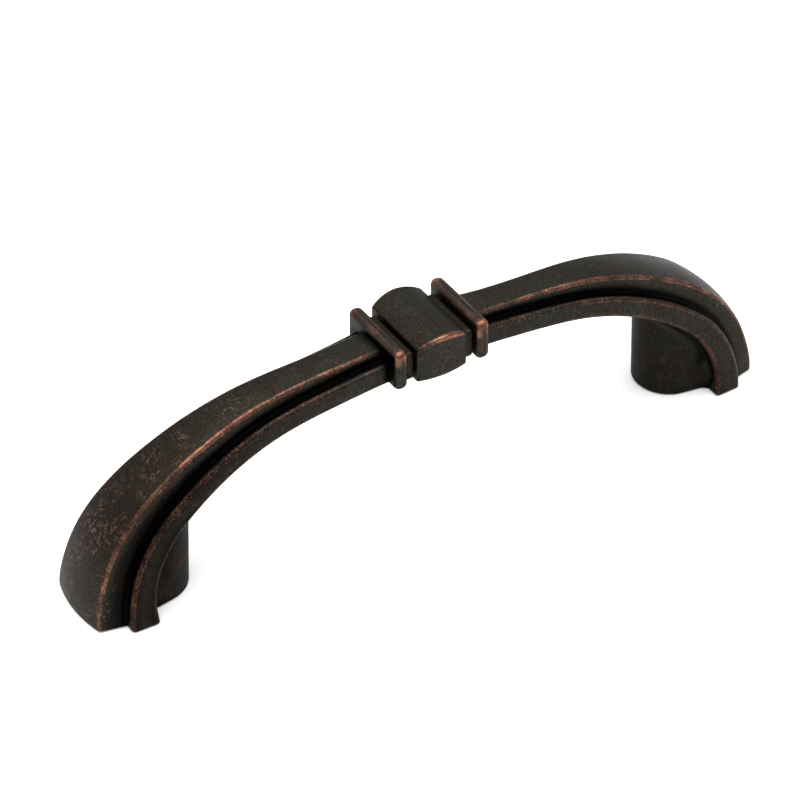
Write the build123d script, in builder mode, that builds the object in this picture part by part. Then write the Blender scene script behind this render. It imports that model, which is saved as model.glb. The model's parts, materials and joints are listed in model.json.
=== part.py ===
"""Cabinet handle: a bow pull die cast in one piece.

Millimetres, +Z up. The origin lies midway between the two screw holes, on the plane of the
drawer front. X runs along the handle and Y across it.
"""

import os
from math import cos, radians, sin, sqrt, tan

from build123d import *

os.makedirs("parts", exist_ok=True)

# Fixing: two blind holes for machine screws that come through the drawer front, as wide as the
# outside of their thread
hole_spacing = 96.0
screw_hole_diameter = 4.0
screw_hole_depth = 13.0
hole_mouth_diameter = 4.8
drill_point_angle = 118.0
hole_mouth_angle = 90.0

# Bow in side view: the line of its top edge, from the drawer front up to the middle
end_overhang = 12.0
end_radius = 24.0
end_turn = 53.5
shoulder_radius = 49.0
middle_slope = 3.5

# Depth of the two layers of the bow, square to the top edge
top_depth_middle = 1.1
top_depth_end = 4.2
flange_depth = 3.45
flange_depth_end = 4.6
flange_swell_power = 4

# Widths across the bow, which is narrowest at a waist between the knuckle and the shoulder
waist_from_middle = 16.0
waist_length = 15.0
top_width_waist = 5.4
top_width_end = 13.1
flange_width_waist = 9.7
flange_width_end = 18.8
top_side_draft = 12.0
flange_side_draft = 2.0
crown_radius = 23.0
edge_round = 0.6
root_round = 0.35

# Feet: posts of U-shaped plan under the ends of the bow, with sides that sweep out to the flange;
# the bevel round the base is a share of the edge round
post_radius = 5.9
post_side_flare = 9.0
sweep_radius = 2.3
sweep_turn = 66.0
sweep_inset = 0.06
post_draft = 2.0
post_fillet = 0.6
base_bevel_share = 0.55

# Knuckle at the middle: a bead with bowed faces, a thin plate and a collar at each of its ends
bead_length = 8.9
bead_end_width = 13.2
bead_end_height = 6.05
bead_top_bow = 1.35
bead_side_bow = 0.7
bead_edge_round = 0.4
bead_gap = 0.25
plate_thickness = 1.2
plate_width = 11.6
plate_height = 5.05
plate_lift = 0.15
plate_corner_round = 0.8
groove_width = 0.25
groove_depth = 1.0
collar_thickness = 2.3
collar_width = 14.3
collar_height = 6.95
collar_rise = 1.0
collar_edge_round = 1.0

# Number of sections that shape each half of the bow
STATIONS = 12

hole_x = hole_spacing / 2
end_x = hole_x + end_overhang
shoulder_turn = 90 - end_turn - middle_slope
base_bevel = base_bevel_share * edge_round
drill_point_height = screw_hole_diameter / 2 / tan(radians(drill_point_angle / 2))

# Along the knuckle, from the middle outwards
bead_half = bead_length / 2
plate_start = bead_half + bead_gap
collar_start = plate_start + plate_thickness + groove_width
bow_stop = collar_start + collar_thickness / 2

# Line of the top edge: an end arc that rises square to the drawer front, a wider shoulder arc
# and a straight run that stops inside the collar
with BuildLine(Plane.XZ) as top_edge:
    end_arc = JernArc((end_x, 0), (0, 1), end_radius, end_turn)
    shoulder_arc = JernArc(end_arc @ 1, end_arc % 1, shoulder_radius, shoulder_turn)
    run_start = shoulder_arc @ 1
    bow_top = run_start.Z + run_start.X * tan(radians(middle_slope))
    Line(run_start, (bow_stop, bow_top - bow_stop * tan(radians(middle_slope))))
top_edge_line = top_edge.wire()
half_length = top_edge_line.length + bow_stop


def flare(from_middle):
    """Share of the widening from waist to end: nearly straight, with a soft turn at the waist."""

    def rise(distance):
        return sqrt(distance**2 + waist_length**2) - waist_length

    return rise(from_middle - waist_from_middle) / rise(half_length - waist_from_middle)


def outline(share):
    """Half widths and depths of both layers at a share of the top edge line."""
    from_middle = bow_stop + (1 - share) * top_edge_line.length
    reach = from_middle / half_length
    top_depth = top_depth_middle + (top_depth_end - top_depth_middle) * reach
    swell = reach**flange_swell_power
    depth = top_depth + flange_depth + (flange_depth_end - flange_depth) * swell
    widening = flare(from_middle)
    top_half = (top_width_waist + (top_width_end - top_width_waist) * widening) / 2
    flange_half = (flange_width_waist + (flange_width_end - flange_width_waist) * widening) / 2
    return top_half, flange_half, top_depth, depth


# Post of one foot: its round end faces the finger gap, its sides open towards the flange, and it
# stops inside the flange, on a line that follows the top edge
post_seat = top_depth_end + flange_depth / 4
post_end_x = end_x - post_seat
flare_sine = sin(radians(post_side_flare))
flare_cosine = cos(radians(post_side_flare))
side_start_x = hole_x - post_radius * flare_sine
side_start_y = post_radius * flare_cosine
side_end_y = side_start_y + (post_end_x - side_start_x) * tan(radians(post_side_flare))

# Where the webs start, a little inside the sides of the post, to end past the bevel of the flange
sweep_run = sweep_radius * (sin(radians(post_side_flare + sweep_turn)) - flare_sine)
sweep_x = end_x - top_depth_end - flange_depth_end + base_bevel - sweep_run
side_y = side_start_y + (sweep_x - side_start_x) * tan(radians(post_side_flare))
sweep_y = side_y - sweep_inset / flare_cosine

with BuildSketch(Plane.XZ) as under_seat:
    with BuildLine():
        seat_end = JernArc((post_end_x, 0), (0, 1), end_radius - post_seat, end_turn)
        seat_shoulder = JernArc(
            seat_end @ 1, seat_end % 1, shoulder_radius - post_seat, shoulder_turn
        )
        seat_stop = seat_shoulder @ 1
        Polyline(seat_stop, (seat_stop.X, 0), (post_end_x, 0))
    make_face()

with BuildPart() as post:
    with BuildSketch():
        with BuildLine():
            Polyline(
                (side_start_x, side_start_y),
                (post_end_x, side_end_y),
                (post_end_x, -side_end_y),
                (side_start_x, -side_start_y),
            )
            ThreePointArc(
                (side_start_x, side_start_y),
                (hole_x - post_radius, 0),
                (side_start_x, -side_start_y),
            )
        make_face()
    extrude(amount=run_start.Z, taper=-post_draft)
    extrude(under_seat.sketch, amount=flange_width_end, both=True, mode=Mode.INTERSECT)

with BuildPart() as webs:
    with BuildSketch():
        with BuildLine():
            sweep_out = JernArc(
                (sweep_x, sweep_y), (flare_cosine, flare_sine), sweep_radius, sweep_turn
            )
            web_end = sweep_out @ 1
            Polyline(web_end, (post_end_x, web_end.Y), (post_end_x, 0))
            Polyline((post_end_x, 0), (sweep_x, 0), (sweep_x, sweep_y))
        make_face()
        mirror(about=Plane.XZ)
    extrude(amount=run_start.Z, taper=-post_draft)
    extrude(under_seat.sketch, amount=web_end.Y, both=True, mode=Mode.INTERSECT)
    chamfer(webs.faces().sort_by(Axis.Z)[0].edges(), base_bevel)

# Heights of the knuckle: collars and bead stand on one level, the plates a little above it
knuckle_bottom = bow_top + collar_rise - collar_height
collar_level = knuckle_bottom + collar_height / 2
plate_level = knuckle_bottom + plate_lift + plate_height / 2
bead_end_half = bead_end_width / 2
bead_top = knuckle_bottom + bead_end_height

with BuildPart() as collar:
    with BuildSketch(Plane.YZ.offset(collar_start)):
        with Locations((0, collar_level)):
            Rectangle(collar_width, collar_height)
    extrude(amount=collar_thickness)
    fillet(collar.edges(), collar_edge_round)

with BuildPart() as bead:
    with BuildSketch(Plane.XZ):
        with BuildLine():
            Polyline(
                (-bead_half, bead_top),
                (-bead_half, knuckle_bottom),
                (bead_half, knuckle_bottom),
                (bead_half, bead_top),
            )
            ThreePointArc(
                (bead_half, bead_top), (0, bead_top + bead_top_bow), (-bead_half, bead_top)
            )
        make_face()
    extrude(amount=collar_width, both=True)
    with BuildSketch(Plane.XY.offset(knuckle_bottom)):
        with BuildLine():
            Line((-bead_half, -bead_end_half), (-bead_half, bead_end_half))
            ThreePointArc(
                (-bead_half, bead_end_half),
                (0, bead_end_half + bead_side_bow),
                (bead_half, bead_end_half),
            )
            Line((bead_half, bead_end_half), (bead_half, -bead_end_half))
            ThreePointArc(
                (bead_half, -bead_end_half),
                (0, -bead_end_half - bead_side_bow),
                (-bead_half, -bead_end_half),
            )
        make_face()
    extrude(amount=2 * collar_height, mode=Mode.INTERSECT)
    fillet(bead.edges(), bead_edge_round)

with BuildPart() as pull:
    # One half of the bow, lofted through stepped sections
    for station in range(STATIONS + 1):
        share = station / STATIONS
        top_half, flange_half, top_depth, depth = outline(share)
        root_half = top_half + top_depth * tan(radians(top_side_draft))
        base_half = flange_half + (depth - top_depth) * tan(radians(flange_side_draft))
        crown = crown_radius - sqrt(crown_radius**2 - top_half**2)
        across = Plane(top_edge_line @ share, x_dir=(0, -1, 0), z_dir=top_edge_line % share)
        with BuildSketch(across) as section:
            with BuildLine():
                side = Polyline(
                    (top_half, 0),
                    (root_half, -top_depth),
                    (flange_half, -top_depth),
                    (base_half, -depth),
                )
                mirror(side, about=Plane.YZ)
                Line((base_half, -depth), (-base_half, -depth))
                ThreePointArc((top_half, 0), (0, crown), (-top_half, 0))
            make_face()
            corners = section.vertices()
            roots = corners.filter_by(lambda v: abs(abs(v.X) - root_half) < 1e-6)
            fillet(corners - roots, edge_round)
            roots = section.vertices().filter_by(lambda v: abs(abs(v.X) - root_half) < 1e-6)
            fillet(roots, root_round)
    loft()
    # Its post, with a fillet where it runs into the flange
    add(post.part)
    fillet(pull.edges(Select.NEW), post_fillet)
    chamfer(pull.faces().sort_by(Axis.Z)[0].outer_wire().edges(), base_bevel)
    add(webs.part)
    # Plate, collar and the neck that shows in the grooves
    with BuildSketch(Plane.YZ.offset(plate_start)):
        with Locations((0, plate_level)):
            RectangleRounded(plate_width, plate_height, plate_corner_round)
    extrude(amount=plate_thickness)
    with BuildSketch(Plane.YZ):
        with Locations((0, plate_level)):
            Rectangle(plate_width - 2 * groove_depth, plate_height - 2 * groove_depth)
    extrude(amount=collar_start)
    add(collar.part)
    mirror(about=Plane.YZ)
    add(bead.part)
    # Screw holes, with a drill point and a chamfered mouth
    for x in (-hole_x, hole_x):
        with Locations(Plane((x, 0, 0), z_dir=(0, 0, -1))):
            CounterSinkHole(
                screw_hole_diameter / 2,
                hole_mouth_diameter / 2,
                screw_hole_depth,
                hole_mouth_angle,
            )
        with Locations((x, 0, screw_hole_depth)):
            Cone(
                screw_hole_diameter / 2,
                0,
                drill_point_height,
                align=(Align.CENTER, Align.CENTER, Align.MIN),
                mode=Mode.SUBTRACT,
            )

pull.part.label = "pull_casting"
export_step(pull.part, "parts/pull_casting.step")
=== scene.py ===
"""Cabinet handle, dressed for the studio.

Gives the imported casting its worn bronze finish, adds the turns of the screw threads in its feet,
and sets up a plain floor, soft light and the camera.
"""

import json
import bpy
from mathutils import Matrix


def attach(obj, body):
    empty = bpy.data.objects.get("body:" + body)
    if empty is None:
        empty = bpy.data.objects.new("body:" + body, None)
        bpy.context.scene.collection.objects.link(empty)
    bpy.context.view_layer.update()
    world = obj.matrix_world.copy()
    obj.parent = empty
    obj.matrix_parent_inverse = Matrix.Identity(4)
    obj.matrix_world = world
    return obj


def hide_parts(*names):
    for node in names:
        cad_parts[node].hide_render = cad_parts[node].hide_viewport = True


bl_info = {
    "name": "Bronze Cabinet Handle",
    "version": (1, 0, 0),
    "blender": (4, 5, 0),
    "location": "View3D > Sidebar > Handle",
    "description": "Dresses a cast cabinet handle in worn bronze and sets up a plain studio",
    "category": "Object",
}

from functools import reduce
from math import cos, pi, radians, sin
from types import SimpleNamespace

import bmesh
import bpy
import numpy as np
from bpy.props import FloatProperty, FloatVectorProperty, PointerProperty
from mathutils import Vector

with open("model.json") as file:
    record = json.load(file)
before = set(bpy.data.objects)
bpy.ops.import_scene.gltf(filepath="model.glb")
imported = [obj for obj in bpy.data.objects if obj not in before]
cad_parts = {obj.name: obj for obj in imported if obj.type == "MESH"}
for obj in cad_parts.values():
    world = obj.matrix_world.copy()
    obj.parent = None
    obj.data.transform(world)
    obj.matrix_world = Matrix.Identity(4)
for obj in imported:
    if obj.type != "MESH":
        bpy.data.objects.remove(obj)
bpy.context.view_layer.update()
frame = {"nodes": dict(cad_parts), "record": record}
CASTING = frame["nodes"]["pull_casting"]
SCREW_HOLES = next(m for m in frame["record"]["mounts"] if m["name"] == "screw_holes")["dims"]
MM = 0.001


def stretch(low, high):
    """Both ends of a stretch given in millimetres, in metres."""
    return low * MM, high * MM


# Stretches of x over which the finish changes along the handle
LEFT_END = stretch(-46, -20)
LEFT_ARM = stretch(-45, -15)
LEFT_BEAD = stretch(-4, 0)
MIDDLE = stretch(-20, 20)
RIGHT_RUN = stretch(0, 20)
RIGHT_FOOT = stretch(30, 40)
RIGHT_SHOULDER = stretch(38, 50)

# The same across the handle, from its middle plane outwards, and above the floor
BEAD_SIDES = stretch(-2, 2)
COLLAR_FAR_HALF = stretch(1, 5)
COLLAR_CORNER = stretch(5.4, 6.5)
FOOT_HEIGHT = stretch(5, 10)

# The same for the depth below the crown, as seen from the side
TOP_ROUND = stretch(0.3, 0.9)
CORNER_DEPTH = stretch(0.2, 1.7)
TOP_SIDE = stretch(1.2, 2.2)
WARM_DEPTH = stretch(1.5, 3)
FLECK_DEPTH = stretch(3, 9)
RED_DEPTH = stretch(4, 7)
LOWER_EDGE = stretch(6, 7.5)
POST_TOP = stretch(7, 8.5)
POST = stretch(7, 10)
POST_BLOTCHES = stretch(9, 12)

# The top layer of the bow: its length from the middle of the handle, its depth at both ends of
# that length, and the share of its depth at which the wear drops
BOW_LENGTH = stretch(10, 48)
TOP_LAYER_DEPTH = stretch(0.9, 1.6)
BELOW_TOP_LAYER = (1.0, 1.5)

# How far wear and flecks stay out of an inner corner, how softly wear changes at the ends of bead
# and collars, how far along an arm it grows to full strength and full width, and how ragged it is
# on the corners of the collars
RECESS_ROUND = stretch(0.15, 0.6)
FLECK_CLEARANCE = 0.3 * MM
ZONE_SOFTNESS = 0.2 * MM
BEAD_SOFTNESS = 1.0 * MM
ARM_FULL_STRENGTH = 4 * MM
ARM_FULL_WIDTH = 20 * MM
CORNER_RAGGEDNESS = 3 * MM

# Painted shadow beside the left collar, on the left side only: its length along the bow, and how
# far it reaches onto the collar
COLLAR_SHADOW_LENGTH = 2 * MM
COLLAR_FACE = 0.25 * MM

# Sizes of the features in the finish
GRAIN_SIZE = 0.22 * MM
MOTTLE_SIZE = 6 * MM
DARK_GRAIN_SIZE = 0.34 * MM
SPECK_SIZE = 0.24 * MM
CRUMB_SIZE = 0.28 * MM
SPOT_SIZE = 0.8 * MM
DRIFT_SIZE = 4.5 * MM
PATCH_SIZE = 3.2 * MM
RED_PATCH_SIZE = 2.4 * MM
BLOTCH_SIZE = 2.6 * MM
ZINC_GRAIN_SIZE = 0.12 * MM
ZINC_MOTTLE_SIZE = 1.5 * MM
GRAIN_RELIEF = 0.06 * MM
ZINC_RELIEF = 0.02 * MM

# Levels of a noise between which a mask changes, and the level in the middle of a noise
MOTTLE_LEVELS = (0.36, 0.64)
DARK_GRAIN_LEVELS = (0.3, 0.7)
SPECK_LEVELS = (0.58, 0.78)
BLOTCH_LEVELS = (0.58, 0.70)
RED_LEVELS = (0.40, 0.58)
GLINT_LEVELS = (0.46, 0.68)
DRIFT_LEVELS = (0.42, 0.66)
SPOT_LEVELS = (0.515, 0.61)
CRUMB_LEVELS = (0.38, 0.66)
WEAR_LEVELS = (0.35, 1.25)
GRAIN_HEIGHTS = (0.5, 1.1)
NOISE_MIDDLE = 0.5

# Fine mesh: points nearer than the weld are one point, and a turn between two points is a bend
# only where it, their distance and its share along the line between them are large enough
WELD = 0.0005 * MM
LEAST_NORMAL = 1e-9
LEAST_TURN = 0.03
LEAST_RUN = 0.02 * MM
LEAST_SHARE = 0.08

# Bends per metre that count as an edge and as an inner corner, the bend given to a sharp crease,
# and the turn from which there is one
EDGE_BEND = 0.5 / MM
RECESS_BEND = 1.2 / MM
CREASE_BEND = 10 / MM
CREASE_TURN = radians(14)

# Crown: how far it may lie from the middle plane, how much it faces away from the origin, how far
# below the top of the handle the grooves of the knuckle are left out, and the level of its mark
CROWN_HALF_WIDTH = 0.4 * MM
CROWN_FACING = 0.3
GROOVE_DEPTH = 2.6 * MM
CROWN_LEVEL = 0.5

# Screw holes: the height past the thread that is sure to clear the drill point, how far from the
# axis the wall and the hole's surroundings reach as shares of the radius, and the steps of one
# turn of the thread with its widths as shares of the pitch
BORE_PAST_THREAD = 4 * MM
WALL_REACH = 1.01
HOLE_REACH = 1.5
STEPS_PER_TURN = 28
TURN_ROOT = 0.8
TURN_TOP = 0.15

FLOOR_DROP = 0.01 * MM


class FinishSettings(bpy.types.PropertyGroup):
    """Colours of the bronze finish and its painted shade, and how far its wear and shade go."""

    patina: FloatVectorProperty(
        name="Patina",
        description="Dark bronze that covers the casting",
        subtype="COLOR",
        default=(0.027, 0.0268, 0.0212),
    )
    warm_patina: FloatVectorProperty(
        name="Warm patina",
        description="Browner bronze on the left end and in cloudy patches",
        subtype="COLOR",
        default=(0.027, 0.0195, 0.0143),
    )
    # Also the colour of the painted shade on the sides, on the posts and beside the left collar
    soot_and_shade: FloatVectorProperty(
        name="Soot",
        description="Blackened bronze in the inner corners",
        subtype="COLOR",
        default=(0.001, 0.001, 0.001),
    )
    copper: FloatVectorProperty(
        name="Copper",
        description="Metal that shows where the patina is rubbed off",
        subtype="COLOR",
        default=(0.20, 0.090, 0.050),
    )
    red_copper: FloatVectorProperty(
        name="Red copper",
        description="Redder metal in patches of the worn edges",
        subtype="COLOR",
        default=(0.115, 0.044, 0.028),
    )
    rust: FloatVectorProperty(
        name="Rust",
        description="Dark red blotches on the feet and along the low edges of the right one",
        subtype="COLOR",
        default=(0.13, 0.032, 0.027),
    )
    fleck: FloatVectorProperty(
        name="Flecks",
        description="Pale flecks scattered over the faces",
        subtype="COLOR",
        default=(0.15, 0.092, 0.080),
    )
    speck: FloatVectorProperty(
        name="Specks",
        description="Fine pale grain all over the patina",
        subtype="COLOR",
        default=(0.10, 0.092, 0.082),
    )
    zinc: FloatVectorProperty(
        name="Zinc",
        description="Bare metal inside the screw holes",
        subtype="COLOR",
        default=(0.42, 0.42, 0.41),
    )
    edge_reach: FloatProperty(
        name="Edge reach",
        description="How far the wear runs in from a rounded edge",
        default=0.35 * MM,
        min=0.0,
        unit="LENGTH",
    )
    # Reach of the black in the inner corners: black patina with painted shade over it
    recess_reach: FloatProperty(
        name="Recess reach",
        description="How far the black runs out of an inner corner",
        default=1.6 * MM,
        min=0.0,
        unit="LENGTH",
    )
    # Reach of the painted shade on the sides around an inner corner
    shade_reach: FloatProperty(
        name="Shade reach",
        description="How far the patina stays darker around an inner corner",
        default=5.5 * MM,
        min=0.0,
        unit="LENGTH",
    )
    low_wear: FloatProperty(
        name="Low wear",
        description="Wear of the edges below the top layer, as a share of the wear above",
        default=0.35,
        subtype="FACTOR",
    )
    collar_wear: FloatProperty(
        name="Collar wear",
        description="Wear of the collars, as a share of the wear on the bow",
        default=0.5,
        subtype="FACTOR",
    )
    # Painted shade that darkens the posts under the bow
    foot_shade: FloatProperty(
        name="Foot shade",
        description="How much darker the posts of the feet are",
        default=0.47,
        subtype="FACTOR",
    )
    bead_end: FloatProperty(
        name="Bead end",
        description="From the middle to the end of the bead",
        default=4.45 * MM,
        unit="LENGTH",
    )
    collar_start: FloatProperty(
        name="Collar start",
        description="From the middle to the inner face of a collar",
        default=6.15 * MM,
        unit="LENGTH",
    )
    collar_end: FloatProperty(
        name="Collar end",
        description="From the middle to the outer face of a collar",
        default=8.45 * MM,
        unit="LENGTH",
    )
    mesh_step: FloatProperty(
        name="Mesh step",
        description="Longest edge of the fine mesh that carries the wear",
        default=0.8 * MM,
        min=0.6 * MM,
        unit="LENGTH",
    )


class ThreadSettings(bpy.types.PropertyGroup):
    """Sizes of the screw threads in the feet."""

    spacing: FloatProperty(
        name="Spacing",
        description="Distance between the two screw holes",
        default=SCREW_HOLES["spacing_x_mm"] * MM,
        unit="LENGTH",
    )
    radius: FloatProperty(
        name="Radius",
        description="Outside radius of the thread, at the wall of the hole",
        default=SCREW_HOLES["hole_r_mm"] * MM,
        unit="LENGTH",
    )
    pitch: FloatProperty(
        name="Pitch",
        description="Rise of the thread in one turn",
        default=0.7 * MM,
        unit="LENGTH",
    )
    depth: FloatProperty(
        name="Depth",
        description="Height of a turn above the wall of the hole",
        default=0.38 * MM,
        unit="LENGTH",
    )
    start: FloatProperty(
        name="Start",
        description="Height of the first turn above the foot",
        default=0.8 * MM,
        unit="LENGTH",
    )
    length: FloatProperty(
        name="Length",
        description="Length of the thread along the hole",
        default=10.5 * MM,
        unit="LENGTH",
    )


class StageSettings(bpy.types.PropertyGroup):
    """Floor, light and camera."""

    floor: FloatVectorProperty(
        name="Floor",
        description="Colour of the plain floor",
        subtype="COLOR",
        default=(0.98, 0.98, 0.98),
    )
    floor_size: FloatProperty(
        name="Floor size",
        description="Length of the floor's sides",
        default=6.0,
        unit="LENGTH",
    )
    floor_glow: FloatProperty(
        name="Floor glow",
        description="Light that the floor gives off by itself, which keeps the shadows short",
        default=0.09,
        min=0.0,
    )
    daylight: FloatProperty(
        name="Daylight",
        description="Brightness of the white surroundings",
        default=0.95,
        min=0.0,
    )
    top_light: FloatProperty(
        name="Top light",
        description="Brightness of the soft light overhead",
        default=3.3,
        min=0.0,
    )
    top_light_size: FloatProperty(
        name="Top light size",
        description="Length of the sides of the soft light overhead",
        default=1.2,
        unit="LENGTH",
    )
    top_light_height: FloatProperty(
        name="Top light height",
        description="Height of the soft light above the floor",
        default=1.0,
        unit="LENGTH",
    )
    azimuth: FloatProperty(
        name="Azimuth",
        description="Turn of the camera about the handle, from square on",
        default=radians(-31.91),
        unit="ROTATION",
    )
    elevation: FloatProperty(
        name="Elevation",
        description="Height of the camera above the floor, as an angle",
        default=radians(38.68),
        unit="ROTATION",
    )
    distance: FloatProperty(
        name="Distance",
        description="Distance from the camera to the middle of the feet, before its shifts",
        default=0.5204,
        unit="LENGTH",
    )
    across: FloatProperty(
        name="Across",
        description="Shift of the camera to its right",
        default=-2.87 * MM,
        unit="LENGTH",
    )
    upward: FloatProperty(
        name="Upward",
        description="Shift of the camera to its top",
        default=11.46 * MM,
        unit="LENGTH",
    )
    lens: FloatProperty(
        name="Lens",
        description="Focal length of the camera",
        default=148.7,
        unit="CAMERA",
    )


def new_node(tree, kind, inputs=None, **settings):
    """Adds a node; inputs maps a socket's name or number to a value, or to a socket to link."""
    node = tree.nodes.new(kind)
    for name, value in settings.items():
        setattr(node, name, value)
    for key, value in (inputs or {}).items():
        if isinstance(value, bpy.types.NodeSocket):
            tree.links.new(value, node.inputs[key])
        else:
            node.inputs[key].default_value = value
    return node


def maths(tree, operation, first, second=0.0, third=0.0):
    """Result of a Math node."""
    kind = "ShaderNodeMath"
    values = {0: first, 1: second, 2: third}
    return new_node(tree, kind, values, operation=operation).outputs[0]


def product(tree, *values):
    """Product of numbers and sockets."""
    return reduce(lambda first, second: maths(tree, "MULTIPLY", first, second), values)


def largest(tree, *values):
    """Largest of numbers and sockets."""
    return reduce(lambda first, second: maths(tree, "MAXIMUM", first, second), values)


def outside(tree, mask):
    """Mask of what lies outside a mask."""
    return maths(tree, "SUBTRACT", 1.0, mask)


def raised(tree, mask, amount):
    """One, and more by the amount where the mask is full."""
    return maths(tree, "MULTIPLY_ADD", mask, amount, 1.0)


def noise(tree, place, size, detail=2.0, roughness=0.5):
    """Noise around 0.5 with features of about the given size in metres."""
    values = {"Vector": place, "Scale": 1 / size, "Detail": detail, "Roughness": roughness}
    return new_node(tree, "ShaderNodeTexNoise", values).outputs["Fac"]


def fade(tree, value, ends, at_low=0.0, at_high=1.0):
    """Smooth step of a value: at_low up to the first of two ends, at_high from the second on."""
    values = {0: value, 1: ends[0], 2: ends[1], 3: at_low, 4: at_high}
    kind = "ShaderNodeMapRange"
    return new_node(tree, kind, values, interpolation_type="SMOOTHSTEP").outputs[0]


def blend_colours(tree, factor, first, second):
    """Colour between two colours, each a plain colour or a socket."""
    values = {0: factor, 6: first, 7: second}
    for key in (6, 7):
        if not isinstance(values[key], bpy.types.NodeSocket):
            values[key] = (*values[key], 1.0)
    return new_node(tree, "ShaderNodeMix", values, data_type="RGBA").outputs[2]


def coated(tree, colour, *coats):
    """Colour under coats laid one over the other, each a mask and a colour."""
    for mask, coat in coats:
        colour = blend_colours(tree, mask, colour, coat)
    return colour


def cast_grain_group():
    """Shader group: the fine grain of a die casting, as a height and as a mottle mask."""
    group = bpy.data.node_groups.new("cast_grain", "ShaderNodeTree")
    sockets = group.interface
    sockets.new_socket("Vector", in_out="INPUT", socket_type="NodeSocketVector")
    sockets.new_socket("Grain Scale", in_out="INPUT", socket_type="NodeSocketFloat")
    sockets.new_socket("Mottle Scale", in_out="INPUT", socket_type="NodeSocketFloat")
    sockets.new_socket("Height", in_out="OUTPUT", socket_type="NodeSocketFloat")
    sockets.new_socket("Mottle", in_out="OUTPUT", socket_type="NodeSocketFloat")
    given = new_node(group, "NodeGroupInput").outputs
    broad_share = 0.6
    layers = []
    for scale, detail in (("Grain Scale", 3.0), ("Mottle Scale", 4.0)):
        values = {
            "Vector": given["Vector"],
            "Scale": given[scale],
            "Detail": detail,
            "Roughness": 0.6,
        }
        layers.append(new_node(group, "ShaderNodeTexNoise", values).outputs["Fac"])
    fine, broad = layers
    height = maths(group, "MULTIPLY_ADD", broad, broad_share, fine)
    mottle = fade(group, broad, MOTTLE_LEVELS)
    new_node(group, "NodeGroupOutput", {"Height": height, "Mottle": mottle})
    return group


def grain_outputs(tree, place, grain_group, grain_size, mottle_size):
    """Height and mottle of the cast grain, with features of the given sizes."""
    values = {"Vector": place, "Grain Scale": 1 / grain_size, "Mottle Scale": 1 / mottle_size}
    return new_node(tree, "ShaderNodeGroup", values, node_tree=grain_group).outputs


def new_material(name):
    """Material with only a Principled BSDF and an output; returns it, its tree and the shader."""
    material = bpy.data.materials.new(name)
    material.use_nodes = True
    tree = material.node_tree
    return material, tree, tree.nodes["Principled BSDF"]


def link_finish(tree, shader, colour, roughness, height, strength, distance):
    """Links a colour, a roughness and the relief of a height to a shader."""
    values = {"Height": height, "Strength": strength, "Distance": distance}
    relief = new_node(tree, "ShaderNodeBump", values).outputs["Normal"]
    tree.links.new(colour, shader.inputs["Base Color"])
    tree.links.new(roughness, shader.inputs["Roughness"])
    tree.links.new(relief, shader.inputs["Normal"])


def casting_surface(tree, grain_group):
    """Sockets that the bronze is worked out from: place on the handle, wear distances and grain."""
    place = new_node(tree, "ShaderNodeTexCoord").outputs["Object"]
    parts = new_node(tree, "ShaderNodeSeparateXYZ", {0: place}).outputs
    edge, recess, depth = (
        new_node(tree, "ShaderNodeAttribute", attribute_name=name).outputs["Fac"]
        for name in ("edge_distance", "recess_distance", "crown_depth")
    )
    from_middle = maths(tree, "ABSOLUTE", parts["X"])
    top_layer = fade(tree, from_middle, BOW_LENGTH, *TOP_LAYER_DEPTH)
    crumbs = noise(tree, place, CRUMB_SIZE, detail=3.0, roughness=0.75)
    return SimpleNamespace(
        place=place,
        x=parts["X"],
        y=parts["Y"],
        z=parts["Z"],
        from_middle=from_middle,
        from_plane=maths(tree, "ABSOLUTE", parts["Y"]),
        edge=edge,
        recess=recess,
        depth=depth,
        below=maths(tree, "DIVIDE", depth, top_layer),
        crumbs=crumbs,
        broken=maths(tree, "SUBTRACT", crumbs, NOISE_MIDDLE),
        grain=grain_outputs(tree, place, grain_group, GRAIN_SIZE, MOTTLE_SIZE),
    )


def wear_zones(tree, at, finish):
    """Masks of the places that wear in their own way."""
    corner_wear = 1.5
    start, end, soft = finish.collar_start, finish.collar_end, ZONE_SOFTNESS
    arm = fade(tree, at.from_middle, (end - soft, end + soft))
    bead_end = finish.bead_end - soft
    bead = product(
        tree,
        fade(tree, at.from_middle, (bead_end - BEAD_SOFTNESS, bead_end), at_low=1.3, at_high=0.0),
        fade(tree, at.y, BEAD_SIDES, at_low=1.0, at_high=0.25),
    )
    ragged_depth = maths(tree, "MULTIPLY_ADD", at.broken, CORNER_RAGGEDNESS, at.depth)
    upper = fade(tree, ragged_depth, CORNER_DEPTH, at_low=1.0, at_high=0.0)
    corner = fade(tree, at.from_plane, COLLAR_CORNER, at_high=upper)
    corner = product(tree, corner, outside(tree, arm))
    collar = product(
        tree,
        fade(tree, at.from_middle, (start - soft, start + soft), at_high=finish.collar_wear),
        raised(tree, corner, corner_wear),
    )
    # Painted shadow beside the left collar, on the left side only
    painted_collar_shadow = product(
        tree,
        fade(tree, at.x, (-end - COLLAR_SHADOW_LENGTH, -end), at_high=0.96),
        fade(tree, at.x, (-end, COLLAR_FACE - end), at_low=1.0, at_high=0.0),
        fade(tree, at.y, COLLAR_FAR_HALF, at_low=1.0, at_high=0.1),
    )
    lower_edge = product(tree, fade(tree, at.x, RIGHT_FOOT), fade(tree, at.depth, LOWER_EDGE))
    return SimpleNamespace(
        arm=arm,
        bead=bead,
        collar=collar,
        corner=corner,
        painted_collar_shadow=painted_collar_shadow,
        lower_edge=lower_edge,
    )


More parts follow.
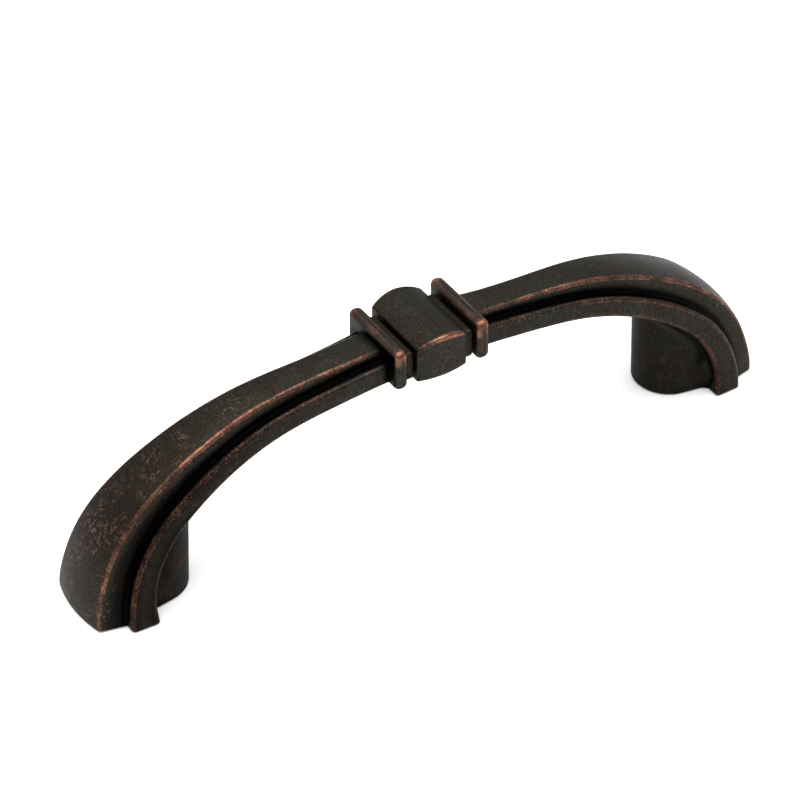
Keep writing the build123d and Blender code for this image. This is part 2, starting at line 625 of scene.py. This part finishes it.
def painted_shade_and_soot_mask(tree, at, finish, zones):
    """Black corner patina, and painted shade on sides, posts and beside the left collar."""
    # Painted shade on the sides near an inner corner, full on the left end and weaker to the right
    painted_side_shade = product(
        tree,
        fade(tree, at.recess, (0.0, finish.shade_reach), at_low=0.92, at_high=0.0),
        fade(tree, at.depth, TOP_SIDE),
        fade(tree, at.x, LEFT_ARM, at_low=1.0, at_high=0.3),
    )
    # Black patina in the inner corners, deepened by painted shade where they lie in shade
    black = product(
        tree,
        fade(tree, at.recess, (0.0, finish.recess_reach), at_low=1.3, at_high=0.0),
        fade(tree, at.depth, TOP_ROUND),
        fade(tree, at.depth, POST_TOP, at_low=1.0, at_high=0.7),
    )
    # Painted shade on the posts under the bow
    foot = fade(tree, at.depth, POST, at_high=finish.foot_shade)
    return largest(tree, painted_side_shade, black, foot, zones.painted_collar_shadow)


def patina_colour(tree, at, finish, zones):
    """Dark bronze: two browns in clouds, dark and light grains, black corners, painted shade and
    rust.
    """
    cloud_share = 0.8
    warm = product(
        tree,
        fade(tree, at.x, LEFT_END, at_low=1.0, at_high=0.0),
        fade(tree, at.z, FOOT_HEIGHT, at_low=0.5, at_high=0.9),
        fade(tree, at.depth, WARM_DEPTH, at_low=1.0, at_high=0.3),
    )
    warm = largest(tree, warm, product(tree, at.grain["Mottle"], cloud_share))
    dark_grains = noise(tree, at.place, DARK_GRAIN_SIZE, roughness=0.7)
    specks = noise(tree, at.place, SPECK_SIZE, detail=1.0)
    blotches = product(
        tree,
        fade(tree, noise(tree, at.place, BLOTCH_SIZE), BLOTCH_LEVELS),
        fade(tree, at.depth, POST_BLOTCHES, at_high=0.15),
    )
    return coated(
        tree,
        blend_colours(tree, warm, finish.patina, finish.warm_patina),
        (fade(tree, dark_grains, DARK_GRAIN_LEVELS, at_low=0.52, at_high=0.0), finish.soot_and_shade),
        (fade(tree, specks, SPECK_LEVELS, at_high=0.4), finish.speck),
        # Painted shade and the black patina of the inner corners
        (painted_shade_and_soot_mask(tree, at, finish, zones), finish.soot_and_shade),
        (blotches, finish.rust),
    )


def rub_mask(tree, at, finish, zones):
    """How hard hands rub: most along the top layer, less below it and hardly in the grooves."""
    right_low_wear = 1.5 * finish.low_wear
    lower_edge_wear = 0.9
    low_wear = fade(tree, at.x, RIGHT_SHOULDER, at_low=right_low_wear, at_high=finish.low_wear)
    low_wear = fade(tree, at.x, RIGHT_RUN, at_low=finish.low_wear, at_high=low_wear)
    arm_growth = (finish.collar_end, finish.collar_end + ARM_FULL_STRENGTH)
    arm = product(tree, zones.arm, fade(tree, at.from_middle, arm_growth, at_low=0.4))
    return product(
        tree,
        fade(tree, at.below, BELOW_TOP_LAYER, at_low=1.0, at_high=low_wear),
        fade(tree, at.recess, RECESS_ROUND),
        raised(tree, zones.lower_edge, lower_edge_wear),
        # No wear inside the painted shadow beside the left collar
        outside(tree, zones.painted_collar_shadow),
        largest(tree, zones.bead, zones.collar, arm),
    )


def worn_mask(tree, at, finish, zones):
    """Worn edges: broken up into patches and crumbs, and as strong as hands rub there."""
    patch_share, corner_share = 1.2, 0.3
    bead_reach = 1.6 * finish.edge_reach
    knuckle = (finish.bead_end, finish.collar_start)
    reach = fade(tree, at.from_middle, knuckle, at_low=bead_reach, at_high=finish.edge_reach)
    from_edge = maths(tree, "DIVIDE", at.edge, reach)
    base = fade(tree, at.below, BELOW_TOP_LAYER, at_low=0.17, at_high=0.05)
    wear = maths(tree, "SUBTRACT", base, from_edge)
    arm_widening = (finish.collar_end, finish.collar_end + ARM_FULL_WIDTH)
    for mask, share in (
        (noise(tree, at.place, PATCH_SIZE, detail=3.0, roughness=0.6), patch_share),
        (at.broken, fade(tree, at.below, BELOW_TOP_LAYER, at_low=1.4, at_high=2.4)),
        (zones.bead, fade(tree, at.x, LEFT_BEAD, at_low=-0.1, at_high=0.25)),
        (zones.collar, product(tree, zones.corner, corner_share)),
        (zones.arm, fade(tree, at.from_middle, arm_widening, at_low=-0.15, at_high=0.0)),
    ):
        wear = maths(tree, "MULTIPLY_ADD", mask, share, wear)
    return product(tree, fade(tree, wear, WEAR_LEVELS), rub_mask(tree, at, finish, zones))


def copper_colour(tree, at, finish, zones, reds):
    """Metal of the worn edges: copper with red patches, painted glints, red low edges and pale
    collars.
    """
    glint_brightness, rust_share, pale_share = 2.2, 0.8, 0.5
    # Painted glints: bright pale crumbs on the arms and collar corners, stronger to the right
    painted_glints = product(
        tree,
        fade(tree, at.crumbs, GLINT_LEVELS),
        fade(tree, at.x, MIDDLE, at_low=0.2, at_high=0.55),
        largest(tree, zones.arm, zones.corner),
    )
    pale = product(
        tree,
        fade(tree, at.from_middle, (finish.bead_end, finish.collar_start), at_high=pale_share),
        outside(tree, zones.arm),
        outside(tree, zones.corner),
    )
    return coated(
        tree,
        blend_colours(tree, reds, finish.copper, finish.red_copper),
        (painted_glints, [glint_brightness * part for part in finish.fleck]),
        (product(tree, zones.lower_edge, rust_share), finish.rust),
        (pale, finish.fleck),
    )


def fleck_mask(tree, at, finish):
    """Crumbs of bare metal in drifts, most of them on the left end and few on the feet."""
    spot_share, crumb_share = 0.58, 0.42
    drifts = noise(tree, at.place, DRIFT_SIZE, detail=3.0, roughness=0.65)
    spots = noise(tree, at.place, SPOT_SIZE, detail=3.0, roughness=0.6)
    crumbs = product(tree, at.crumbs, crumb_share)
    spots = maths(tree, "MULTIPLY_ADD", spots, spot_share, crumbs)
    return product(
        tree,
        fade(tree, spots, SPOT_LEVELS),
        fade(tree, drifts, DRIFT_LEVELS),
        fade(tree, at.crumbs, CRUMB_LEVELS, at_low=0.35, at_high=1.25),
        fade(tree, at.x, LEFT_END, at_low=1.0, at_high=0.35),
        fade(tree, at.recess, (FLECK_CLEARANCE, finish.shade_reach)),
        fade(tree, at.depth, FLECK_DEPTH, at_low=1.0, at_high=0.15),
    )


def bronze_material(finish, grain_group):
    """Oil-rubbed bronze: near black, rubbed to copper along the edges, with scattered flecks."""
    red_fleck_share, worn_gloss, grazing_tint = 0.4, 0.22, 0.74
    material, tree, shader = new_material("oil_rubbed_bronze")
    at = casting_surface(tree, grain_group)
    zones = wear_zones(tree, at, finish)
    worn = worn_mask(tree, at, finish, zones)
    red_patches = noise(tree, at.place, RED_PATCH_SIZE, detail=3.0, roughness=0.6)
    reds = largest(tree, fade(tree, red_patches, RED_LEVELS), fade(tree, at.depth, RED_DEPTH))
    red_flecks = product(tree, reds, red_fleck_share)
    colour = coated(
        tree,
        patina_colour(tree, at, finish, zones),
        (
            fleck_mask(tree, at, finish),
            blend_colours(tree, red_flecks, finish.fleck, finish.red_copper),
        ),
        (worn, copper_colour(tree, at, finish, zones, reds)),
    )
    height = at.grain["Height"]
    rough = fade(tree, height, GRAIN_HEIGHTS, at_low=0.40, at_high=0.52)
    rough = maths(tree, "MULTIPLY_ADD", worn, -worn_gloss, rough)
    rough = maths(tree, "ADD", rough, fade(tree, at.depth, POST, at_high=0.15))
    link_finish(tree, shader, colour, rough, height, strength=0.4, distance=GRAIN_RELIEF)
    shader.inputs["Metallic"].default_value = 1.0
    shader.inputs["Specular Tint"].default_value = (grazing_tint, grazing_tint, grazing_tint, 1.0)
    return material


def zinc_material(finish, grain_group):
    """Cut zinc inside the screw holes: bright, with grain and greyer clouds."""
    dullness = 0.6
    material, tree, shader = new_material("cut_zinc")
    place = new_node(tree, "ShaderNodeTexCoord").outputs["Object"]
    grain = grain_outputs(tree, place, grain_group, ZINC_GRAIN_SIZE, ZINC_MOTTLE_SIZE)
    height = grain["Height"]
    dull = [dullness * part for part in finish.zinc]
    colour = blend_colours(tree, grain["Mottle"], finish.zinc, dull)
    rough = fade(tree, height, GRAIN_HEIGHTS, at_low=0.28, at_high=0.45)
    link_finish(tree, shader, colour, rough, height, strength=0.25, distance=ZINC_RELIEF)
    shader.inputs["Metallic"].default_value = 0.9
    return material


def finish_materials():
    """The handle's two materials, made once and then reused."""
    finish = bpy.context.scene.handle_finish
    if "oil_rubbed_bronze" not in bpy.data.materials:
        grain_group = cast_grain_group()
        bronze_material(finish, grain_group)
        zinc_material(finish, grain_group)
    return bpy.data.materials["oil_rubbed_bronze"], bpy.data.materials["cut_zinc"]


def floor_material(stage):
    """Plain matt floor with a faint glow of its own."""
    material, _, shader = new_material("pale_floor")
    shader.inputs["Base Color"].default_value = (*stage.floor, 1.0)
    shader.inputs["Roughness"].default_value = 0.9
    shader.inputs["Specular IOR Level"].default_value = 0.0
    shader.inputs["Emission Strength"].default_value = stage.floor_glow
    return material


def new_geometry_tree(name, sockets):
    """Geometry Nodes tree with the given inputs, and the outputs of its Group Input node."""
    tree = bpy.data.node_groups.new(name, "GeometryNodeTree")
    tree.interface.new_socket("Geometry", in_out="OUTPUT", socket_type="NodeSocketGeometry")
    for label, kind in sockets:
        tree.interface.new_socket(label, in_out="INPUT", socket_type=kind)
    return tree, new_node(tree, "NodeGroupInput").outputs


def finish_tree(tree, geometry, material):
    """Ends a Geometry Nodes tree: real geometry with its material."""
    real = new_node(tree, "GeometryNodeRealizeInstances", {"Geometry": geometry})
    values = {"Geometry": real.outputs[0], "Material": material}
    painted = new_node(tree, "GeometryNodeSetMaterial", values)
    new_node(tree, "NodeGroupOutput", {"Geometry": painted.outputs[0]})


def run_tree(carrier, tree, values):
    """Evaluates a tree on an object with the given inputs, and returns the mesh that it makes."""
    modifier = carrier.modifiers.new(tree.name, "NODES")
    modifier.node_group = tree
    for item in tree.interface.items_tree:
        if item.in_out == "INPUT" and item.name in values:
            modifier[item.identifier] = values[item.name]
    graph = bpy.context.evaluated_depsgraph_get()
    made = bpy.data.meshes.new_from_object(carrier.evaluated_get(graph))
    carrier.modifiers.remove(modifier)
    return made


def add_piece(name, mesh):
    """Object at the origin with the given mesh."""
    mesh.name = name
    piece = bpy.data.objects.new(name, mesh)
    bpy.context.scene.collection.objects.link(piece)
    return piece


def fine_copy(source, step):
    """Closed copy of a CAD mesh with no edge longer than step; keeps its smooth normals."""
    mesh = source.copy()
    normals = np.empty(3 * len(mesh.loops), np.float32)
    mesh.corner_normals.foreach_get("vector", normals)
    kept = mesh.attributes.new("cad_normal", "FLOAT_VECTOR", "CORNER")
    kept.data.foreach_set("vector", normals)
    fine = bmesh.new()
    fine.from_mesh(mesh)
    bmesh.ops.remove_doubles(fine, verts=fine.verts, dist=WELD)
    while long_edges := [edge for edge in fine.edges if edge.calc_length() > step]:
        bmesh.ops.subdivide_edges(fine, edges=long_edges, cuts=1, use_single_edge=True)
        bmesh.ops.triangulate(fine, faces=[face for face in fine.faces if len(face.verts) > 3])
    fine.to_mesh(mesh)
    fine.free()
    mesh.attributes.remove(mesh.attributes["custom_normal"])
    return mesh


def corner_data(mesh):
    """Vertex numbers, places and kept normals at the three corners of each triangle."""
    corners = np.empty(len(mesh.loops), np.int32)
    mesh.loops.foreach_get("vertex_index", corners)
    places = np.empty(3 * len(mesh.vertices), np.float32)
    mesh.vertices.foreach_get("co", places)
    normals = np.empty(3 * len(mesh.loops), np.float32)
    mesh.attributes["cad_normal"].data.foreach_get("vector", normals)
    normals = normals.reshape(-1, 3, 3)
    normals /= np.maximum(np.linalg.norm(normals, axis=2, keepdims=True), LEAST_NORMAL)
    corners = corners.reshape(-1, 3)
    return corners, places.reshape(-1, 3)[corners], normals


def bend_marks(count, corners, places, normals):
    """How sharply the surface bends out and in at each vertex, per metre."""
    following = np.roll(corners, -1, axis=1)
    run = np.roll(places, -1, axis=1) - places
    turn = np.roll(normals, -1, axis=1) - normals
    along_run = (run * turn).sum(axis=2)
    turned = np.linalg.norm(turn, axis=2)
    far = np.linalg.norm(run, axis=2)
    bends = (turned > LEAST_TURN) & (far > LEAST_RUN)
    bends &= np.abs(along_run) > LEAST_SHARE * turned * far
    bend = np.divide(turned**2, along_run, out=np.zeros_like(turned), where=bends)
    outward, inward, overall = (np.zeros(count, np.float32) for _ in range(3))
    for ends in (corners, following):
        np.maximum.at(outward, ends, bend)
        np.maximum.at(inward, ends, -bend)
        np.add.at(overall, ends, along_run)
    outward[overall < 0] = 0
    inward[overall > 0] = 0
    return outward, inward


def mean_normals(count, corners, places, normals):
    """Mean normal at each vertex, and how far the faces around it rise along that normal."""
    mean = np.zeros((count, 3), np.float32)
    faces = np.zeros(count, np.float32)
    np.add.at(mean, corners, normals)
    np.add.at(faces, corners, 1.0)
    mean /= np.maximum(faces, 1.0)[:, None]
    rise = np.zeros(count, np.float32)
    middle = places.mean(axis=1, keepdims=True)
    np.add.at(rise, corners, ((middle - places) * mean[corners]).sum(axis=2))
    return mean, rise


def hole_top(thread):
    """Height above the foot, a little past the end of a screw hole."""
    return thread.start + thread.length + BORE_PAST_THREAD


def crown_mark(spots, mean, finish, thread):
    """Marks the top of the handle along its middle plane, without the holes and the grooves."""
    along, height = np.abs(spots[:, 0]), spots[:, 2]
    facing = (spots * mean).sum(axis=1) > CROWN_FACING * np.linalg.norm(spots, axis=1)
    crown = (np.abs(spots[:, 1]) < CROWN_HALF_WIDTH) & facing
    crown &= (along > finish.collar_end) | (height > height.max() - GROOVE_DEPTH)
    by_hole = np.abs(along - thread.spacing / 2) < HOLE_REACH * thread.radius
    return crown & ~(by_hole & (height < hole_top(thread)))


def store_marks(mesh, finish, thread):
    """Stores at each vertex how sharply the surface bends out and in, per metre, and the crown."""
    corners, places, normals = corner_data(mesh)
    count = len(mesh.vertices)
    outward, inward = bend_marks(count, corners, places, normals)
    mean, rise = mean_normals(count, corners, places, normals)

    # Where two faces meet at an edge, the normals at one vertex differ
    creased = np.linalg.norm(mean, axis=1) < cos(CREASE_TURN)
    outward[creased & (rise < 0)] = CREASE_BEND
    inward[creased & (rise > 0)] = CREASE_BEND

    spots = np.zeros_like(mean)
    spots[corners] = places
    crown = crown_mark(spots, mean, finish, thread).astype(np.float32)
    marks = {"outward_bend": outward, "inward_bend": inward, "crown": crown}
    for name, values in marks.items():
        mesh.attributes.new(name, "FLOAT", "POINT").data.foreach_set("value", values)


def wear_tree():
    """Geometry Nodes tree: stores how far each point lies from edges, recesses and the crown."""
    tree, given = new_geometry_tree(
        "casting_wear",
        [
            ("Geometry", "NodeSocketGeometry"),
            ("Edge Bend", "NodeSocketFloat"),
            ("Recess Bend", "NodeSocketFloat"),
            ("Material", "NodeSocketMaterial"),
        ],
    )
    place = new_node(tree, "GeometryNodeInputPosition").outputs[0]
    parts = new_node(tree, "ShaderNodeSeparateXYZ", {0: place}).outputs
    values = {"X": parts["X"], "Z": parts["Z"]}
    side_view = new_node(tree, "ShaderNodeCombineXYZ", values).outputs[0]
    geometry = given["Geometry"]
    wears = (
        ("outward_bend", given["Edge Bend"], "edge_distance", place),
        ("inward_bend", given["Recess Bend"], "recess_distance", place),
        ("crown", CROWN_LEVEL, "crown_depth", side_view),
    )
    for mark, limit, stored_name, seen in wears:
        level = new_node(tree, "GeometryNodeInputNamedAttribute", {"Name": mark})
        marked = maths(tree, "GREATER_THAN", level.outputs["Attribute"], limit)
        values = {0: given["Geometry"], 1: marked}
        ridge = new_node(tree, "GeometryNodeSeparateGeometry", values, domain="POINT")
        values = {"Geometry": ridge.outputs[0], "Position": seen}
        shifted = new_node(tree, "GeometryNodeSetPosition", values)
        values = {0: shifted.outputs[0], "Sample Position": seen}
        near = new_node(tree, "GeometryNodeProximity", values, target_element="POINTS")
        values = {"Geometry": geometry, "Name": stored_name, "Value": near.outputs["Distance"]}
        stored = new_node(tree, "GeometryNodeStoreNamedAttribute", values, domain="POINT")
        geometry = stored.outputs[0]
    finish_tree(tree, geometry, given["Material"])
    return tree


class HANDLE_OT_casting(bpy.types.Operator):
    """Replace the casting by a fine copy of it that carries the worn bronze finish"""

    bl_idname = "handle.casting"
    bl_label = "Casting"

    def execute(self, context):
        finish = context.scene.handle_finish
        thread = context.scene.handle_thread
        bronze, zinc = finish_materials()
        fine = fine_copy(CASTING.data, finish.mesh_step)
        store_marks(fine, finish, thread)
        carrier = add_piece("fine_casting", fine)
        values = {"Edge Bend": EDGE_BEND, "Recess Bend": RECESS_BEND, "Material": bronze}
        mesh = run_tree(carrier, wear_tree(), values)
        bpy.data.objects.remove(carrier)

        _, places, normals = corner_data(mesh)
        mesh.polygons.foreach_set("use_smooth", np.ones(len(mesh.polygons), bool))
        mesh.normals_split_custom_set(normals.reshape(-1, 3))
        for name in ("cad_normal", "outward_bend", "inward_bend", "crown"):
            mesh.attributes.remove(mesh.attributes[name])

        # The walls of the screw holes are bare metal
        middle = places.mean(axis=1)
        from_axis = np.hypot(np.abs(middle[:, 0]) - thread.spacing / 2, middle[:, 1])
        in_hole = (from_axis < WALL_REACH * thread.radius) & (middle[:, 2] < hole_top(thread))
        mesh.materials.clear()
        mesh.materials.append(bronze)
        mesh.materials.append(zinc)
        mesh.polygons.foreach_set("material_index", in_hole.astype(np.int32))

        casting = add_piece("bronze_casting", mesh)
        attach(casting, "root")
        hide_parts("pull_casting")
        return {"FINISHED"}


def thread_tree():
    """Geometry Nodes tree: a helical ridge of trapezoid section, once in each screw hole."""
    lengths = ("Spacing", "Radius", "Pitch", "Depth", "Start", "Length")
    sockets = [(name, "NodeSocketFloat") for name in lengths]
    tree, given = new_geometry_tree("screw_thread", [*sockets, ("Material", "NodeSocketMaterial")])
    helix = new_node(
        tree,
        "GeometryNodeCurveSpiral",
        {
            "Resolution": STEPS_PER_TURN,
            "Rotations": maths(tree, "DIVIDE", given["Length"], given["Pitch"]),
            "Start Radius": given["Radius"],
            "End Radius": given["Radius"],
            "Height": given["Length"],
        },
    )
    level = new_node(tree, "GeometryNodeSetCurveNormal", {0: helix.outputs[0]}, mode="Z_UP")

    # The outer half of the section lies inside the wall of the hole
    section = new_node(
        tree,
        "GeometryNodeCurvePrimitiveQuadrilateral",
        {
            "Height": product(tree, given["Depth"], 2.0),
            "Bottom Width": product(tree, given["Pitch"], TURN_ROOT),
            "Top Width": product(tree, given["Pitch"], TURN_TOP),
            "Offset": 0.0,
        },
        mode="TRAPEZOID",
    )
    ridge = new_node(
        tree,
        "GeometryNodeCurveToMesh",
        {"Curve": level.outputs[0], "Profile Curve": section.outputs[0], "Fill Caps": True},
    )
    left = product(tree, given["Spacing"], -0.5)
    first = new_node(tree, "ShaderNodeCombineXYZ", {"X": left, "Z": given["Start"]})
    step = new_node(tree, "ShaderNodeCombineXYZ", {"X": given["Spacing"]})
    feet = new_node(
        tree,
        "GeometryNodeMeshLine",
        {
            "Count": SCREW_HOLES["count"],
            "Start Location": first.outputs[0],
            "Offset": step.outputs[0],
        },
    )
    placed = new_node(
        tree,
        "GeometryNodeInstanceOnPoints",
        {"Points": feet.outputs[0], "Instance": ridge.outputs[0]},
    )
    finish_tree(tree, placed.outputs[0], given["Material"])
    return tree


class HANDLE_OT_threads(bpy.types.Operator):
    """Add the turns of the screw threads inside both feet"""

    bl_idname = "handle.threads"
    bl_label = "Screw threads"

    def execute(self, context):
        thread = context.scene.handle_thread
        zinc = finish_materials()[1]
        carrier = add_piece("thread_carrier", bpy.data.meshes.new("thread_carrier"))
        values = {
            "Spacing": thread.spacing,
            "Radius": thread.radius,
            "Pitch": thread.pitch,
            "Depth": thread.depth,
            "Start": thread.start,
            "Length": thread.length,
            "Material": zinc,
        }
        mesh = run_tree(carrier, thread_tree(), values)
        bpy.data.objects.remove(carrier)
        if not mesh.polygons:
            raise RuntimeError("the thread has no faces")
        threads = add_piece("screw_threads", mesh)
        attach(threads, "root")
        return {"FINISHED"}


def lay_floor(stage):
    """Square floor just under the feet."""
    half = stage.floor_size / 2
    corners = [(-half, -half), (half, -half), (half, half), (-half, half)]
    mesh = bpy.data.meshes.new("floor")
    mesh.from_pydata([(x, y, -FLOOR_DROP) for x, y in corners], [], [(0, 1, 2, 3)])
    mesh.materials.append(floor_material(stage))
    add_piece("floor", mesh)


def light_room(scene, stage):
    """White surroundings, and a square soft light overhead that faces straight down."""
    world = bpy.data.worlds.new("white_room")
    world.use_nodes = True
    room = world.node_tree.nodes["Background"].inputs
    room["Color"].default_value = (1.0, 1.0, 1.0, 1.0)
    room["Strength"].default_value = stage.daylight
    scene.world = world
    light = bpy.data.lights.new("top_light", "AREA")
    light.size = stage.top_light_size
    light.energy = stage.top_light * light.size**2 * pi
    lamp = bpy.data.objects.new("top_light", light)
    lamp.location.z = stage.top_light_height
    scene.collection.objects.link(lamp)


def place_camera(scene, stage):
    """Camera turned and raised about the handle, then shifted across its own view."""
    turn, lift = stage.azimuth, stage.elevation
    back = Vector((sin(turn) * cos(lift), -cos(turn) * cos(lift), sin(lift)))
    right = Vector((cos(turn), sin(turn), 0))
    up = back.cross(right)
    lens = bpy.data.cameras.new("camera")
    lens.lens = stage.lens
    camera = bpy.data.objects.new("camera", lens)
    camera.location = back * stage.distance + right * stage.across + up * stage.upward
    camera.rotation_euler = (-back).to_track_quat("-Z", "Y").to_euler()
    scene.collection.objects.link(camera)
    scene.camera = camera


class HANDLE_OT_studio(bpy.types.Operator):
    """Set up the floor, the soft light and the camera"""

    bl_idname = "handle.studio"
    bl_label = "Studio"

    def execute(self, context):
        stage = context.scene.handle_stage
        lay_floor(stage)
        light_room(context.scene, stage)
        place_camera(context.scene, stage)
        context.scene.view_settings.view_transform = "Standard"
        return {"FINISHED"}


class HANDLE_PT_sidebar(bpy.types.Panel):
    """Sizes, colours and steps of the handle"""

    bl_label = "Cabinet handle"
    bl_idname = "HANDLE_PT_sidebar"
    bl_space_type = "VIEW_3D"
    bl_region_type = "UI"
    bl_category = "Handle"

    def draw(self, context):
        for settings_name, operator in (
            ("handle_finish", HANDLE_OT_casting),
            ("handle_thread", HANDLE_OT_threads),
            ("handle_stage", HANDLE_OT_studio),
        ):
            settings = getattr(context.scene, settings_name)
            box = self.layout.box()
            for name in settings.__annotations__:
                box.prop(settings, name)
            box.operator(operator.bl_idname)


SETTINGS = {
    "handle_finish": FinishSettings,
    "handle_thread": ThreadSettings,
    "handle_stage": StageSettings,
}
CLASSES = (
    *SETTINGS.values(),
    HANDLE_OT_casting,
    HANDLE_OT_threads,
    HANDLE_OT_studio,
    HANDLE_PT_sidebar,
)


def register():
    for cls in CLASSES:
        bpy.utils.register_class(cls)
    for name, group in SETTINGS.items():
        setattr(bpy.types.Scene, name, PointerProperty(type=group))


def unregister():
    for name in SETTINGS:
        delattr(bpy.types.Scene, name)
    for cls in reversed(CLASSES):
        bpy.utils.unregister_class(cls)


def main():
    register()
    bpy.ops.handle.casting()
    bpy.ops.handle.threads()
    bpy.ops.handle.studio()


if __name__ == "__main__":
    main()
